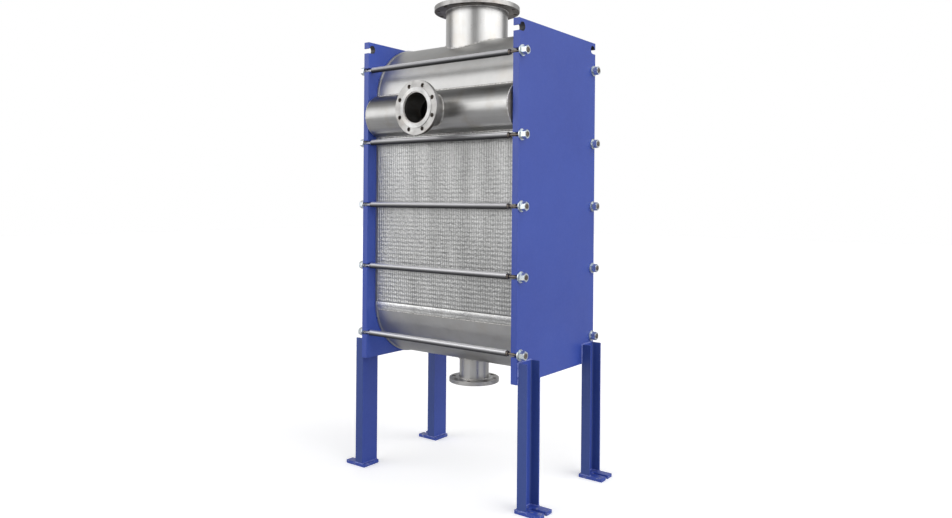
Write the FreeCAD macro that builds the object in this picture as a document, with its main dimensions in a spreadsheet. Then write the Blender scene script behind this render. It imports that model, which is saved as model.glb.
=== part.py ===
import FreeCAD, Part
import os
import re
import Sketcher
from FreeCAD import Placement, Rotation, Vector

# Fully welded plate heat exchanger on four legs.
# +X runs along the tie rods, -Y is the side with the upper side nozzle, +Z is up.
# The origin is on the floor, below the middle of the plate pack.

doc = FreeCAD.newDocument("plate_heat_exchanger")

# ---------------------------------------------------------------- driving sizes, mm
SIZES = {
    # end plates
    "plate_gap": 1000,
    "plate_thick": 36,
    "plate_depth": 780,
    "plate_height": 1810,
    "plate_bottom": 635,
    "eye_radius": 22.5,
    "eye_inset": 30,
    "eye_drop": 40,
    "eye_mouth": 26,
    # tie rods, with their heights above the lower edge of the end plates
    "rod_inset": 25,
    "rod_level_one": 145,
    "rod_level_two": 530,
    "rod_level_three": 880,
    "rod_level_four": 1235,
    "rod_level_five": 1650,
    "rod_slot": 22,
    "thread_radius": 13.5,
    "thread_length": 38,
    "neck_radius": 7,
    "bar_radius": 13,
    "bar_length": 940,
    "rod_tip": 3,
    "tip_chamfer": 1.5,
    "sleeve_radius": 16,
    "sleeve_length": 952,
    "sleeve_start": -492,
    "washer_radius": 29,
    "washer_bore": 14,
    "washer_thick": 6,
    "nut_flats": 41,
    "nut_thick": 30,
    "nut_bore": 13.55,
    "nut_chamfer": 2,
    # channel legs and their base plates
    "leg_web": 120,
    "leg_flange": 55,
    "leg_web_thick": 7,
    "leg_flange_thick": 9,
    "leg_setback": 10,
    "leg_overlap": 108,
    "foot_length": 145,
    "foot_width": 120,
    "foot_thick": 20,
    "foot_overhang": 15,
    "foot_slot": 22,
    "foot_slot_depth": 82,
    # welded core: side panels, caps and plate pack
    "panel_thick": 12,
    "panel_lip": 6,
    "cap_radius": 320,
    "cap_wall": 8,
    "cap_top_level": 2125,
    "cap_bottom_level": 955,
    "pack_gap": 3.25,
    "pack_wall": 1.5,
    "cassettes": 64,
    "cassette_pitch": "=(plate_gap - 2 * panel_thick + pack_gap) / cassettes",
    "gap_bar_depth": 10,
    "window_height": 200,
    "cover_height": 48,
    "cover_overlap": 4,
    "ledge_height": 30,
    "strip_thick": 5,
    # side headers
    "header_radius": 120,
    "header_wall": 8,
    "header_inset": 16,
    "header_half_length": 488,
    "header_front_level": 2020,
    "header_rear_level": 1038,
    "header_end_thick": 8,
    "header_end_recess": 6,
    # nozzles and flanges
    "nozzle_shift": -20,
    "top_pipe_radius": 177.8,
    "top_pipe_wall": 8,
    "top_flange_radius": 245,
    "top_flange_thick": 26,
    "top_flange_circle": 222.5,
    "top_face_level": 2650,
    "top_raised_radius": 207.5,
    "small_pipe_radius": 84.15,
    "small_pipe_wall": 4.5,
    "small_flange_radius": 142.5,
    "small_flange_thick": 22,
    "small_flange_circle": 120,
    "small_raised_radius": 106,
    "raised_height": 3,
    "bolt_hole_radius": 11,
    "bottom_face_level": 505,
    "side_face_reach": 550,
    "pipe_recess": 4,
}

TOP_BOLTS = 12
SMALL_BOLTS = 8
ROD_LEVELS = ("one", "two", "three", "four", "five")

sizes = doc.addObject("Spreadsheet::Sheet", "Sizes")
for row, (alias, value) in enumerate(SIZES.items(), start=1):
    sizes.set("A%d" % row, alias)
    sizes.set("B%d" % row, str(value))
    sizes.setAlias("B%d" % row, alias)
doc.recompute()

NODES = []
ALONG_X = Rotation(Vector(0, 1, 0), 90)
ALONG_Y = Rotation(Vector(1, 0, 0), -90)
HALF_TURN = Rotation(Vector(0, 0, 1), 180)
UPRIGHT = Rotation()


# ---------------------------------------------------------------- helpers
def sheet_text(expression):
    """Prefix every size name in an expression with the sheet's name."""
    def full_name(match):
        word = match.group()
        return "Sizes." + word if word in SIZES else word
    return re.sub("[a-z_]+", full_name, expression)


def number(expression):
    """The value of an expression in the sheet's sizes."""
    return float(sizes.evalExpression(sheet_text(expression)))


def bind(item, properties):
    """Bind each property of a document object to an expression in the sheet's sizes."""
    for name, expression in properties.items():
        item.setExpression(name, sheet_text(expression))


def put(item, place, rotation=UPRIGHT):
    """Turn an object and bind its position to three expressions."""
    item.Placement = Placement(Vector(), rotation)
    for axis, expression in zip("xyz", place):
        item.setExpression("Placement.Base." + axis, sheet_text(expression))


def box(name, lengths, place):
    item = doc.addObject("Part::Box", name)
    bind(item, dict(zip(("Length", "Width", "Height"), lengths)))
    put(item, place)
    return item


def cylinder(name, radius, length, place, rotation=UPRIGHT, angle=360):
    item = doc.addObject("Part::Cylinder", name)
    item.Angle = angle
    bind(item, {"Radius": radius, "Height": length})
    put(item, place, rotation)
    return item


def cut(name, base, tool):
    item = doc.addObject("Part::Cut", name)
    item.Base = base
    item.Tool = tool
    return item


def fuse(name, shapes):
    item = doc.addObject("Part::MultiFuse", name)
    item.Shapes = shapes
    item.Refine = True
    return item


def node(item, label):
    """Name a finished sub-part and put it on the list of what is written."""
    item.Label = label
    NODES.append(item)
    return item


def copies(label, form, placements):
    """One sub-part made of equal separate solids, one at each placement."""
    item = doc.addObject("Part::Feature", label + "_group")
    solids = []
    for placement in placements:
        solid = form.Shape.copy()
        solid.Placement = placement.multiply(solid.Placement)
        solids.append(solid)
    item.Shape = solids[0] if len(solids) == 1 else Part.makeCompound(solids)
    return node(item, label)


def body_with_sketch(name, plane_role):
    """A PartDesign body and an empty sketch on one of its own origin planes."""
    body = doc.addObject("PartDesign::Body", name)
    return body, add_sketch(body, name + "_sketch", plane_role)


def add_sketch(body, name, plane_role):
    sketch = body.newObject("Sketcher::SketchObject", name)
    plane = [item for item in body.Origin.OriginFeatures if item.Role == plane_role][0]
    sketch.AttachmentSupport = [(plane, "")]
    sketch.MapMode = "FlatFace"
    return sketch


def fix_point(sketch, geometry, point, x_text, y_text):
    """Hold one sketch point at two expressions, measured from the sketch's origin."""
    for kind, axis, text in (("DistanceX", -2, x_text), ("DistanceY", -1, y_text)):
        value = number(text)
        if value == 0:
            sketch.addConstraint(Sketcher.Constraint("PointOnObject", geometry, point, axis))
        else:
            place = Sketcher.Constraint(kind, -1, 1, geometry, point, value)
            index = sketch.addConstraint(place)
            sketch.setExpression("Constraints[%d]" % index, sheet_text(text))


def outline(sketch, corners):
    """A closed outline of straight lines whose corners are pairs of expressions."""
    points = [Vector(number(x), number(y), 0) for x, y in corners]
    lines = []
    for start, end in zip(points, points[1:] + points[:1]):
        lines.append(sketch.addGeometry(Part.LineSegment(start, end), False))
    for line, following in zip(lines, lines[1:] + lines[:1]):
        sketch.addConstraint(Sketcher.Constraint("Coincident", line, 2, following, 1))
    for line, (x_text, y_text) in zip(lines, corners):
        fix_point(sketch, line, 1, x_text, y_text)


def circle(sketch, radius, x_text="0", y_text="0"):
    centre = Vector(number(x_text), number(y_text), 0)
    ring = sketch.addGeometry(Part.Circle(centre, Vector(0, 0, 1), number(radius)), False)
    fix_point(sketch, ring, 3, x_text, y_text)
    index = sketch.addConstraint(Sketcher.Constraint("Radius", ring, number(radius)))
    sketch.setExpression("Constraints[%d]" % index, sheet_text(radius))
    return ring


def pad(body, sketch, length):
    feature = body.newObject("PartDesign::Pad", sketch.Name + "_pad")
    feature.Profile = sketch
    bind(feature, {"Length": length})
    doc.recompute()
    return feature


# ---------------------------------------------------------------- end plates
def end_plate(label, inner_face):
    """A flat plate with open rod slots in both upright edges and two lifting eyes."""
    low_y = "0 - plate_depth / 2"
    plate = box(label + "_blank", ("plate_thick", "plate_depth", "plate_height"),
                (inner_face, low_y, "plate_bottom"))
    cutters = []
    for side in (-1, 1):
        slot_y = "%d * ( plate_depth / 2 - rod_inset )" % side
        mouth_y = slot_y if side == 1 else slot_y + " - 2 * rod_inset"
        for level in ROD_LEVELS:
            level_z = "plate_bottom + rod_level_" + level
            name = "%s_slot_%s_%d" % (label, level, side)
            cutters.append(cylinder(name + "_end", "rod_slot / 2", "plate_thick",
                                    (inner_face, slot_y, level_z), ALONG_X))
            cutters.append(box(name + "_mouth", ("plate_thick", "2 * rod_inset", "rod_slot"),
                               (inner_face, mouth_y, level_z + " - rod_slot / 2")))
        eye_y = "%d * ( plate_depth / 2 - eye_inset )" % side
        eye_z = "plate_bottom + plate_height - eye_drop"
        eye_mouth_y = eye_y if side == 1 else eye_y + " - 2 * eye_inset"
        name = "%s_eye_%d" % (label, side)
        cutters.append(cylinder(name, "eye_radius", "plate_thick", (inner_face, eye_y, eye_z), ALONG_X))
        cutters.append(box(name + "_mouth", ("plate_thick", "2 * eye_inset", "eye_mouth"),
                           (inner_face, eye_mouth_y, eye_z + " - eye_radius")))
    tools = fuse(label + "_openings", cutters)
    return node(cut(label + "_cut", plate, tools), label)


end_plate("left_end_plate", "0 - plate_gap / 2 - plate_thick")
end_plate("right_end_plate", "plate_gap / 2")


# ---------------------------------------------------------------- legs and base plates
def leg(label, side, front):
    """A channel with its web flat on the end plate and its flanges pointing outward."""
    body, sketch = body_with_sketch(label + "_body", "XY_Plane")
    outline(sketch, (
        ("0", "0"),
        ("leg_flange", "0"),
        ("leg_flange", "leg_flange_thick"),
        ("leg_web_thick", "leg_flange_thick"),
        ("leg_web_thick", "leg_web - leg_flange_thick"),
        ("leg_flange", "leg_web - leg_flange_thick"),
        ("leg_flange", "leg_web"),
        ("0", "leg_web"),
    ))
    pad(body, sketch, "plate_bottom + leg_overlap - foot_thick")
    x_text = "%d * ( plate_gap / 2 + plate_thick )" % side
    y_text = "%d * ( plate_depth / 2 - leg_setback )" % (-1 if front else 1)
    if (side == 1) == front:
        y_near = y_text
    else:
        y_near = y_text + " - %d * leg_web" % (-1 if front else 1)
    put(body, (x_text, y_near, "foot_thick"), UPRIGHT if side == 1 else HALF_TURN)
    return node(body, label)


def foot(label, side, front):
    """A base plate with a fork slot that is open towards the outside."""
    blank = box(label + "_blank", ("foot_length", "foot_width", "foot_thick"),
                ("0 - foot_overhang", "0 - foot_width / 2", "0"))
    slot_x = "foot_length - foot_overhang - foot_slot_depth"
    slot_end = cylinder(label + "_slot_end", "foot_slot / 2", "foot_thick", (slot_x, "0", "0"))
    slot_run = box(label + "_slot_run", ("foot_slot_depth", "foot_slot", "foot_thick"),
                   (slot_x, "0 - foot_slot / 2", "0"))
    slot = fuse(label + "_slot", [slot_end, slot_run])
    plate = cut(label + "_cut", blank, slot)
    x_text = "%d * ( plate_gap / 2 + plate_thick )" % side
    y_text = "%d * ( plate_depth / 2 - leg_setback - leg_web / 2 )" % (-1 if front else 1)
    put(plate, (x_text, y_text, "0"), UPRIGHT if side == 1 else HALF_TURN)
    return node(plate, label)


CORNERS = (("front_left", -1, True), ("rear_left", -1, False),
           ("front_right", 1, True), ("rear_right", 1, False))
for corner, side, front in CORNERS:
    leg("leg_" + corner, side, front)
    foot("foot_plate_" + corner, side, front)


# ---------------------------------------------------------------- tie rods, sleeves, washers, nuts
def tie_rod_form():
    """A bar with a turned-down neck at each end plate and a thread outside it."""
    body, sketch = body_with_sketch("tie_rod_form", "XY_Plane")
    tip = "( plate_gap / 2 + plate_thick + washer_thick + nut_thick + rod_tip )"
    thread_start = "( %s - thread_length )" % tip
    chamfer_start = "( %s - tip_chamfer )" % tip
    right_half = (
        ("bar_length / 2", "bar_radius"),
        ("bar_length / 2", "neck_radius"),
        (thread_start, "neck_radius"),
        (thread_start, "thread_radius"),
        (chamfer_start, "thread_radius"),
        (tip, "thread_radius - tip_chamfer"),
        (tip, "0"),
    )
    left_half = tuple(("0 - " + x_text, y_text) for x_text, y_text in reversed(right_half))
    outline(sketch, left_half + right_half)
    turned = body.newObject("PartDesign::Revolution", "tie_rod_turned")
    turned.Profile = sketch
    turned.ReferenceAxis = (sketch, ["H_Axis"])
    turned.Angle = 360
    return body


def nut_form():
    """A hexagon nut with its corners chamfered at both faces; its axis is X, its seat at X = 0."""
    body, sketch = body_with_sketch("nut_form", "YZ_Plane")
    corner = "nut_flats / 2 / sin(60 deg)"
    outline(sketch, tuple(("%s * cos(%d deg)" % (corner, turn), "%s * sin(%d deg)" % (corner, turn))
                          for turn in range(30, 390, 60)))
    circle(sketch, "nut_bore")
    pad(body, sketch, "nut_thick")
    profile = add_sketch(body, "nut_chamfer_sketch", "XY_Plane")
    outer = "nut_flats / 2 + 2 * nut_chamfer"
    inner = "nut_flats / 2"
    for face, inward in (("0", "nut_chamfer"), ("nut_thick", "nut_thick - nut_chamfer")):
        outline(profile, ((face, inner), (inward, outer), (face, outer)))
    groove = body.newObject("PartDesign::Groove", "nut_chamfer_groove")
    groove.Profile = profile
    groove.ReferenceAxis = (profile, ["H_Axis"])
    groove.Angle = 360
    body.Tip = groove
    return body


rod_form = tie_rod_form()
hexagon_nut = nut_form()
washer_disc = cylinder("washer_disc", "washer_radius", "washer_thick", ("0", "0", "0"), ALONG_X)
washer_hole = cylinder("washer_hole", "washer_bore", "washer_thick", ("0", "0", "0"), ALONG_X)
washer_form = cut("washer_form", washer_disc, washer_hole)
sleeve_tube = cylinder("sleeve_tube", "sleeve_radius", "sleeve_length", ("sleeve_start", "0", "0"), ALONG_X)
sleeve_hole = cylinder("sleeve_hole", "bar_radius", "sleeve_length", ("sleeve_start", "0", "0"), ALONG_X)
sleeve_form = cut("sleeve_form", sleeve_tube, sleeve_hole)
doc.recompute()

rod_heights = [number("plate_bottom + rod_level_" + level) for level in ROD_LEVELS]
rod_offset = number("plate_depth / 2 - rod_inset")
washer_seat = number("plate_gap / 2 + plate_thick")
nut_seat = number("plate_gap / 2 + plate_thick + washer_thick")

for row_name, row_y in (("front", -rod_offset), ("rear", rod_offset)):
    places = [Placement(Vector(0, row_y, height), UPRIGHT) for height in rod_heights]
    copies("tie_rods_" + row_name, rod_form, places)
    copies("rod_sleeves_" + row_name, sleeve_form, places)
    for index, height in enumerate(rod_heights, start=1):
        washer_place = Placement(Vector(washer_seat, row_y, height), UPRIGHT)
        nut_place = Placement(Vector(nut_seat, row_y, height), UPRIGHT)
        copies("washer_%s_%d" % (row_name, index), washer_form, [washer_place])
        copies("nut_%s_%d" % (row_name, index), hexagon_nut, [nut_place])

rod_rows = [(row_y, height) for row_y in (-rod_offset, rod_offset) for height in rod_heights]
copies("left_washers", washer_form,
       [Placement(Vector(-washer_seat, row_y, height), HALF_TURN) for row_y, height in rod_rows])
copies("left_nuts", hexagon_nut,
       [Placement(Vector(-nut_seat, row_y, height), HALF_TURN) for row_y, height in rod_rows])


# ---------------------------------------------------------------- welded core
def side_panel(label, low_x):
    """The round-ended plate that closes the pack and both caps at one side."""
    lip_radius = "cap_radius + panel_lip"
    middle = box(label + "_middle",
                 ("panel_thick", "2 * ( %s )" % lip_radius, "cap_top_level - cap_bottom_level"),
                 (low_x, "0 - ( %s )" % lip_radius, "cap_bottom_level"))
    ends = [cylinder(label + "_" + level, lip_radius, "panel_thick", (low_x, "0", level), ALONG_X)
            for level in ("cap_bottom_level", "cap_top_level")]
    return node(fuse(label + "_fused", [middle] + ends), label)


side_panel("left_side_panel", "0 - plate_gap / 2")
side_panel("right_side_panel", "plate_gap / 2 - panel_thick")

CORE_HALF = "( plate_gap / 2 - panel_thick )"


def half_shell(name, radius, wall, centre_y, centre_z, half_length, turn):
    """A half-round shell along X; its open side is turned about X by the angle in turn."""
    rotation = Rotation(Vector(1, 0, 0), turn).multiply(ALONG_X)
    place = ("0 - " + half_length, centre_y, centre_z)
    outside = cylinder(name + "_outside", radius, "2 * " + half_length, place, rotation, 180)
    inside = cylinder(name + "_inside", radius + " - " + wall, "2 * " + half_length, place, rotation, 180)
    return cut(name + "_shell", outside, inside)


def cap(label, level, turn, pipe_radius, pipe_wall):
    """A half-round cap with a round opening for its nozzle."""
    shell = half_shell(label, "cap_radius", "cap_wall", "0", level, CORE_HALF, turn)
    direction = "0" if turn == 90 else "0 - cap_radius - cap_wall"
    hole = cylinder(label + "_opening", "%s - %s" % (pipe_radius, pipe_wall), "cap_radius + cap_wall",
                    ("nozzle_shift", "0", level + " + " + direction))
    return node(cut(label + "_cut", shell, hole), label)


cap("top_cap", "cap_top_level", 90, "top_pipe_radius", "top_pipe_wall")
cap("bottom_cap", "cap_bottom_level", -90, "small_pipe_radius", "small_pipe_wall")

# The cassettes stand side by side between the side panels; each is a flat tube, open at top and bottom.
PACK_HEIGHT = "cap_top_level - cap_bottom_level"
cassette_outside = box("cassette_outside", ("cassette_pitch - pack_gap", "2 * cap_radius", PACK_HEIGHT),
                       ("0", "0 - cap_radius", "cap_bottom_level"))
cassette_inside = box("cassette_inside",
                      ("cassette_pitch - pack_gap - 2 * pack_wall", "2 * cap_radius - 2 * pack_wall",
                       PACK_HEIGHT),
                      ("pack_wall", "pack_wall - cap_radius", "cap_bottom_level"))
cassette_form = cut("cassette_form", cassette_outside, cassette_inside)
front_bar = box("front_gap_bar",
                ("pack_gap", "gap_bar_depth", "header_front_level - window_height / 2 - cap_bottom_level"),
                ("0", "0 - cap_radius", "cap_bottom_level"))
rear_bar = box("rear_gap_bar",
               ("pack_gap", "gap_bar_depth", "cap_top_level - header_rear_level - window_height / 2"),
               ("0", "cap_radius - gap_bar_depth", "header_rear_level + window_height / 2"))
doc.recompute()

cassettes = int(number("cassettes"))
pitch = number("cassette_pitch")
first_cassette = number("0 - " + CORE_HALF)
copies("plate_cassettes", cassette_form,
       [Placement(Vector(first_cassette + index * pitch, 0, 0), UPRIGHT) for index in range(cassettes)])
first_gap = first_cassette + pitch - number("pack_gap")
gap_places = [Placement(Vector(first_gap + index * pitch, 0, 0), UPRIGHT) for index in range(cassettes - 1)]
copies("gap_bars_front", front_bar, gap_places)
copies("gap_bars_rear", rear_bar, gap_places)

# Flat strips cover the weld between the pack and the cap farther from each header, and the header's
# own long edge on the pack.
STRIP_LENGTH = "2 * " + CORE_HALF
FRONT_STRIP_Y = "0 - cap_radius - strip_thick"
HEADER_EDGE = "sqrt(header_radius ^ 2 - header_inset ^ 2)"
for strip, strip_y, level, height in (
        ("pack_strip_front", FRONT_STRIP_Y, "cap_bottom_level + cover_overlap - cover_height", "cover_height"),
        ("pack_strip_rear", "cap_radius", "cap_top_level - cover_overlap", "cover_height"),
        ("header_ledge_front", FRONT_STRIP_Y, "header_front_level - %s - ledge_height" % HEADER_EDGE,
         "ledge_height"),
        ("header_ledge_rear", "cap_radius", "header_rear_level + " + HEADER_EDGE, "ledge_height")):
    node(box(strip + "_box", (STRIP_LENGTH, "strip_thick", height), ("0 - " + CORE_HALF, strip_y, level)),
         strip)


# ---------------------------------------------------------------- side headers
HEADER_AXIS = "( cap_radius - header_inset )"


def header_piece(label, side, round_piece, low_x, length, level):
    """Cut the part of a header's round piece that would reach into the pack."""
    root_y = HEADER_AXIS if side == 1 else "0 - cap_radius"
    trim = box(label + "_trim", (length, "header_inset", "2 * header_radius"),
               (low_x, root_y, level + " - header_radius"))
    return cut(label + "_cut", round_piece, trim)


def header(label, side, level):
    """A half-round header on the pack's front or rear face, with a hole for its nozzle."""
    centre_y = "%d * %s" % (side, HEADER_AXIS)
    shell = half_shell(label, "header_radius", "header_wall", centre_y, level,
                       "header_half_length", 0 if side == 1 else 180)
    hole_y = centre_y if side == 1 else centre_y + " - header_radius"
    hole = cylinder(label + "_opening", "small_pipe_radius - small_pipe_wall", "header_radius",
                    ("0", hole_y, level), ALONG_Y)
    opened = cut(label + "_opened", shell, hole)
    return node(header_piece(label, side, opened, "0 - header_half_length",
                             "2 * header_half_length", level), label)


def header_ends(label, side, level):
    """The two flat ends of a header, set a little inside its shell."""
    rotation = Rotation(Vector(1, 0, 0), 0 if side == 1 else 180).multiply(ALONG_X)
    discs = []
    for end, low_x in (("left", "header_end_recess - header_half_length"),
                       ("right", "header_half_length - header_end_recess - header_end_thick")):
        name = "%s_%s" % (label, end)
        disc = cylinder(name, "header_radius - header_wall", "header_end_thick",
                        (low_x, "%d * %s" % (side, HEADER_AXIS), level), rotation, 180)
        discs.append(header_piece(name, side, disc, low_x, "header_end_thick", level))
    pair = doc.addObject("Part::Compound", label + "_pair")
    pair.Links = discs
    return node(pair, label)


header("front_header", -1, "header_front_level")
header_ends("front_header_ends", -1, "header_front_level")
header("rear_header", 1, "header_rear_level")
header_ends("rear_header_ends", 1, "header_rear_level")


# ---------------------------------------------------------------- nozzles
def flange_form(name, outer, raised, bore, thick, circle_radius, bolts):
    """A flat flange; its raised face is at Z = 0 and the flange lies below it."""
    body, sketch = body_with_sketch(name, "XY_Plane")
    circle(sketch, outer)
    circle(sketch, bore)
    plate = pad(body, sketch, thick)
    plate.Reversed = True
    ring = add_sketch(body, name + "_ring_sketch", "XY_Plane")
    circle(ring, raised)
    circle(ring, bore)
    pad(body, ring, "raised_height")
    hole = add_sketch(body, name + "_hole_sketch", "XY_Plane")
    half_step = 180.0 / bolts
    circle(hole, "bolt_hole_radius", "%s * cos(%.2f deg)" % (circle_radius, half_step),
           "%s * sin(%.2f deg)" % (circle_radius, half_step))
    drilled = body.newObject("PartDesign::Pocket", name + "_bolt_hole")
    drilled.Profile = hole
    drilled.Type = "ThroughAll"
    doc.recompute()
    pattern = body.newObject("PartDesign::PolarPattern", name + "_bolt_holes")
    pattern.Originals = [drilled]
    pattern.Axis = (hole, ["N_Axis"])
    pattern.Angle = 360
    pattern.Occurrences = bolts
    body.Tip = pattern
    return body


small_flange = flange_form("small_flange_form", "small_flange_radius", "small_raised_radius",
                           "small_pipe_radius", "small_flange_thick", "small_flange_circle",
                           SMALL_BOLTS)
top_flange = flange_form("top_flange_form", "top_flange_radius", "top_raised_radius",
                         "top_pipe_radius", "top_flange_thick", "top_flange_circle", TOP_BOLTS)
doc.recompute()


def nozzle_pipe(label, radius, wall, length, place, rotation, saddle):
    """A pipe stub whose root is cut to the curve of the shell it stands on."""
    outside = cylinder(label + "_outside", radius, length, place, rotation)
    inside = cylinder(label + "_inside", "%s - %s" % (radius, wall), length, place, rotation)
    tube = cut(label + "_tube", outside, inside)
    return node(cut(label + "_cut", tube, saddle), label)


def saddle_core(name, radius, centre_y, centre_z):
    return cylinder(name, radius, "plate_gap", ("0 - plate_gap / 2", centre_y, centre_z), ALONG_X)


top_length = "( top_face_level - pipe_recess - cap_top_level )"
nozzle_pipe("top_nozzle_pipe", "top_pipe_radius", "top_pipe_wall", top_length,
            ("nozzle_shift", "0", "cap_top_level"), UPRIGHT,
            saddle_core("top_saddle", "cap_radius", "0", "cap_top_level"))
bottom_length = "( cap_bottom_level - bottom_face_level - pipe_recess )"
nozzle_pipe("bottom_nozzle_pipe", "small_pipe_radius", "small_pipe_wall", bottom_length,
            ("nozzle_shift", "0", "bottom_face_level + pipe_recess"), UPRIGHT,
            saddle_core("bottom_saddle", "cap_radius", "0", "cap_bottom_level"))
side_length = "( side_face_reach - pipe_recess - %s )" % HEADER_AXIS
nozzle_pipe("front_nozzle_pipe", "small_pipe_radius", "small_pipe_wall", side_length,
            ("0", "pipe_recess - side_face_reach", "header_front_level"), ALONG_Y,
            saddle_core("front_saddle", "header_radius", "0 - " + HEADER_AXIS, "header_front_level"))
nozzle_pipe("rear_nozzle_pipe", "small_pipe_radius", "small_pipe_wall", side_length,
            ("0", HEADER_AXIS, "header_rear_level"), ALONG_Y,
            saddle_core("rear_saddle", "header_radius", HEADER_AXIS, "header_rear_level"))
doc.recompute()

nozzle_x = number("nozzle_shift")
raised = number("raised_height")
side_reach = number("side_face_reach")
copies("top_nozzle_flange", top_flange,
       [Placement(Vector(nozzle_x, 0, number("top_face_level") - raised), UPRIGHT)])
copies("bottom_nozzle_flange", small_flange,
       [Placement(Vector(nozzle_x, 0, number("bottom_face_level") + raised),
                  Rotation(Vector(1, 0, 0), 180))])
copies("front_nozzle_flange", small_flange,
       [Placement(Vector(0, raised - side_reach, number("header_front_level")),
                  Rotation(Vector(1, 0, 0), 90))])
copies("rear_nozzle_flange", small_flange,
       [Placement(Vector(0, side_reach - raised, number("header_rear_level")),
                  Rotation(Vector(1, 0, 0), -90))])


# ---------------------------------------------------------------- checks and export
doc.recompute()
for item in doc.Objects:
    if "Invalid" in item.State or "Error" in item.State:
        raise RuntimeError("%s did not compute: %s" % (item.Label, item.State))
labels = [item.Label for item in NODES]
if len(set(labels)) != len(labels):
    raise RuntimeError("two sub-parts share a label")
os.makedirs("parts", exist_ok=True)
for item in NODES:
    shape = item.Shape
    if shape.isNull() or not shape.isValid():
        raise RuntimeError("%s has no valid shape" % item.Label)
    shape.exportStep("parts/%s.step" % item.Label)
    print("%-24s solids %3d  volume %12.1f" % (item.Label, len(shape.Solids), shape.Volume))
print(len(NODES), "sub-parts")
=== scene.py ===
import math

import bmesh
import bpy
import numpy as np
from mathutils import Matrix, Vector


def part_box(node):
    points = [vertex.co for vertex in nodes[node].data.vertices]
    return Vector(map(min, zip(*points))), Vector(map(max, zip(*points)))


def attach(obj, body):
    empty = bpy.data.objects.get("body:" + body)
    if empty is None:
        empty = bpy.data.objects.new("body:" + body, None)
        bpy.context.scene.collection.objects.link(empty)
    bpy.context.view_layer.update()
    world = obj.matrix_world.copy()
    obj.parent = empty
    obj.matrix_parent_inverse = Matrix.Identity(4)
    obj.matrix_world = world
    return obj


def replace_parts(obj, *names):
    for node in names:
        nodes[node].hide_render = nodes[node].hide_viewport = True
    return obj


# Looks of the plate heat exchanger. Lengths are metres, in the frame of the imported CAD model:
# +X along the tie rods, -Y towards the upper side nozzle, +Z up, floor at Z = 0.

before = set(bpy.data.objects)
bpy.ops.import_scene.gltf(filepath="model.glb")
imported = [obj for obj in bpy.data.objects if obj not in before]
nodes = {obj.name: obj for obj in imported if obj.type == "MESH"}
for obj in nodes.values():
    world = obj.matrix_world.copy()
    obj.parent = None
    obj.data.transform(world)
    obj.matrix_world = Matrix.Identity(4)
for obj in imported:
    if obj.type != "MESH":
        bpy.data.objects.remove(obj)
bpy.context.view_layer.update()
MM = 0.001


# ---------------------------------------------------------------- places read from the frame
def low(node):
    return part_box(node)[0]


def high(node):
    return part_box(node)[1]


PLATE_OUTER = high("right_end_plate").x
PLATE_INNER = low("right_end_plate").x
PLATE_FRONT = low("right_end_plate").y
PLATE_BOTTOM = low("right_end_plate").z
EYE_RADIUS = 22.5 * MM
EYE_Y = -PLATE_FRONT - 30 * MM
EYE_LEVEL = high("right_end_plate").z - 40 * MM
PANEL_INNER = low("right_side_panel").x
PANEL_RADIUS = high("right_side_panel").y
CAP_RADIUS = high("top_cap").y
CAP_TOP_LEVEL = low("top_cap").z
CAP_BOTTOM_LEVEL = high("bottom_cap").z
SLEEVE_RADIUS = (high("rod_sleeves_front").y - low("rod_sleeves_front").y) / 2
ROD_Y = high("rod_sleeves_rear").y - SLEEVE_RADIUS
ROD_TIP = high("tie_rods_front").x
ROD_HEIGHTS = [(low("washer_front_%d" % k).z + high("washer_front_%d" % k).z) / 2 for k in range(1, 6)]
HEADER_REACH = -low("front_header").y
HEADER_FOOT = -high("front_header").y
HEADER_LEVEL = {-1: (low("front_header").z + high("front_header").z) / 2,
                1: (low("rear_header").z + high("rear_header").z) / 2}
HEADER_HALF_LENGTH = high("front_header").x
# The header's section is part of a circle: its reach and its half height at the foot fix the radius.
HEADER_HALF_HEIGHT = (high("front_header").z - low("front_header").z) / 2
HEADER_DEPTH = HEADER_REACH - HEADER_FOOT
HEADER_RADIUS = (HEADER_HALF_HEIGHT ** 2 + HEADER_DEPTH ** 2) / (2 * HEADER_DEPTH)
HEADER_AXIS = HEADER_REACH - HEADER_RADIUS
NOZZLE_SHIFT = (low("top_nozzle_flange").x + high("top_nozzle_flange").x) / 2
TOP_PIPE_RADIUS = (high("top_nozzle_pipe").x - low("top_nozzle_pipe").x) / 2
SMALL_PIPE_RADIUS = (high("front_nozzle_pipe").x - low("front_nozzle_pipe").x) / 2
CASSETTES = 64
PACK_PITCH = 2 * PANEL_INNER / CASSETTES
RIB_DEPTH = 4.2 * MM
SHARP_ANGLE = math.radians(35)


# ---------------------------------------------------------------- material building blocks
def new_material(name, **sockets):
    """A material and its node tree; the named values are set on the shader's own sockets."""
    material = bpy.data.materials.new(name)
    material.use_nodes = True
    shader = material.node_tree.nodes["Principled BSDF"]
    for socket, value in sockets.items():
        shader.inputs[socket.replace("_", " ")].default_value = value
    return material, material.node_tree, shader


def coordinates(tree, scale=(1, 1, 1), offset=(0, 0, 0)):
    """Object coordinates, moved by offset and stretched by scale."""
    source = tree.nodes.new("ShaderNodeTexCoord")
    mapping = tree.nodes.new("ShaderNodeMapping")
    mapping.inputs["Location"].default_value = [o * s for o, s in zip(offset, scale)]
    mapping.inputs["Scale"].default_value = scale
    tree.links.new(source.outputs["Object"], mapping.inputs["Vector"])
    return mapping.outputs["Vector"]


def noise(tree, vector, scale, detail=4.0, roughness=0.55):
    """Smooth noise between 0 and 1; scale is in cells per metre where the vector isn't stretched."""
    node = tree.nodes.new("ShaderNodeTexNoise")
    node.inputs["Scale"].default_value = scale
    node.inputs["Detail"].default_value = detail
    node.inputs["Roughness"].default_value = roughness
    tree.links.new(vector, node.inputs["Vector"])
    return node.outputs["Fac"]


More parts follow.
